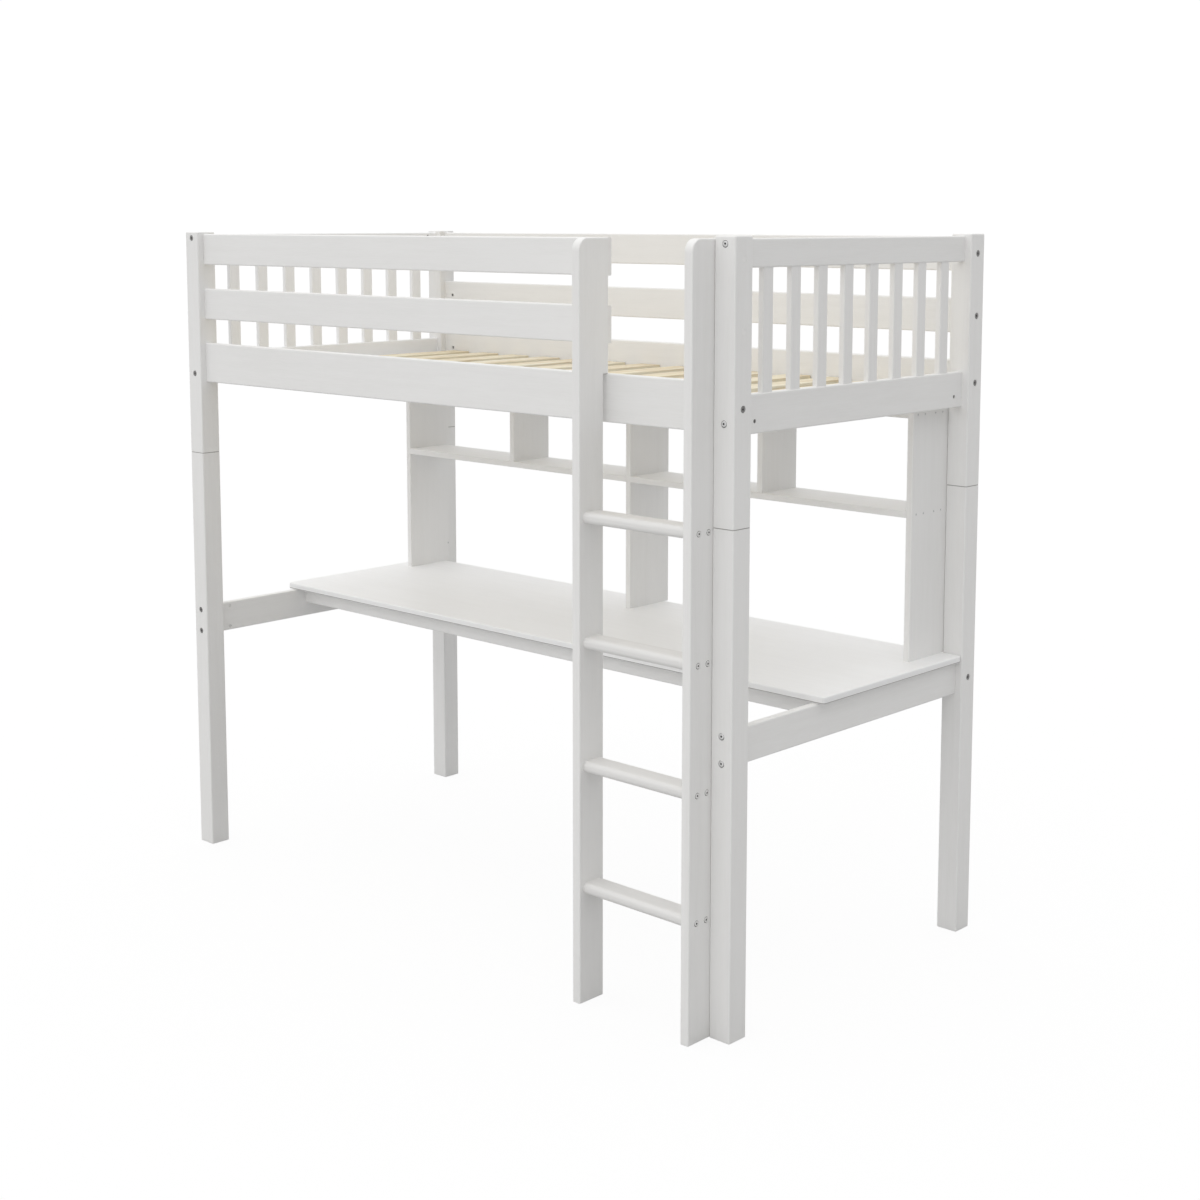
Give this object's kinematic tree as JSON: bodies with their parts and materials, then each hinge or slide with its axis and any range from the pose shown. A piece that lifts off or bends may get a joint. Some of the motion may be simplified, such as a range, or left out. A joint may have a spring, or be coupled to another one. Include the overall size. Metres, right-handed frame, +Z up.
{
  "type": "loft bed with desk",
  "caption": "High wooden bed on corner posts with guard boards, slatted ends and deck, a fixed ladder at one end, and a full-length desk with an open shelf unit below.",
  "frame": {"origin": "on the floor, under the middle of the whole bed's outline, ladder included", "axes": "+X along the bed towards the ladder end, +Z up, so the ladder and the open side of the desk face -Y"},
  "size_m": [2.1, 1.087, 1.858],
  "materials": {
    "painted_wood": "satin white paint over pine",
    "bare_pine": "planed, unfinished",
    "beech": "plain turned dowel",
    "steel": "zinc plated",
    "cap_plastic": "moulded white"
  },
  "bodies": {
    "root": {"barrel_nuts": "steel", "bed_slat_01": "bare_pine", "bed_slat_02": "bare_pine", "bed_slat_03": "bare_pine", "bed_slat_04": "bare_pine", "bed_slat_05": "bare_pine", "bed_slat_06": "bare_pine", "bed_slat_07": "bare_pine", "bed_slat_08": "bare_pine", "bed_slat_09": "bare_pine", "bed_slat_10": "bare_pine", "bed_slat_11": "bare_pine", "bed_slat_12": "bare_pine", "bed_slat_13": "bare_pine", "bed_slat_14": "bare_pine", "desk_front_apron": "painted_wood", "desk_side_rail_left": "painted_wood", "desk_side_rail_right": "painted_wood", "desktop": "painted_wood", "foot_low_rail": "painted_wood", "foot_panel_slats": "painted_wood", "foot_top_rail": "painted_wood", "frame_bolts": "steel", "front_mid_guard": "painted_wood", "front_side_rail": "painted_wood", "front_top_guard": "painted_wood", "head_low_rail": "painted_wood", "head_panel_slats": "painted_wood", "head_top_rail": "painted_wood", "hole_plugs": "cap_plastic", "ladder_rung_1": "painted_wood", "ladder_rung_2": "painted_wood", "ladder_rung_3": "painted_wood", "ladder_rung_4": "painted_wood", "ladder_screws": "steel", "ladder_stile_left": "painted_wood", "ladder_stile_right": "painted_wood", "lower_leg_front_left": "painted_wood", "lower_leg_front_right": "painted_wood", "lower_leg_rear_left": "painted_wood", "lower_leg_rear_right": "painted_wood", "post_dowels": "beech", "rear_desk_rail": "painted_wood", "rear_mid_guard": "painted_wood", "rear_side_rail": "painted_wood", "rear_top_guard": "painted_wood", "shelf_board_left": "painted_wood", "shelf_board_right": "painted_wood", "shelf_dividers": "painted_wood", "shelf_top_boards": "painted_wood", "shelf_upright_left": "painted_wood", "shelf_upright_mid": "painted_wood", "shelf_upright_right": "painted_wood", "slat_cleats": "bare_pine", "upper_post_front_left": "painted_wood", "upper_post_front_right": "painted_wood", "upper_post_rear_left": "painted_wood", "upper_post_rear_right": "painted_wood", "wood_dowels": "beech", "wood_screws": "steel"}
  },
  "joints": []
}
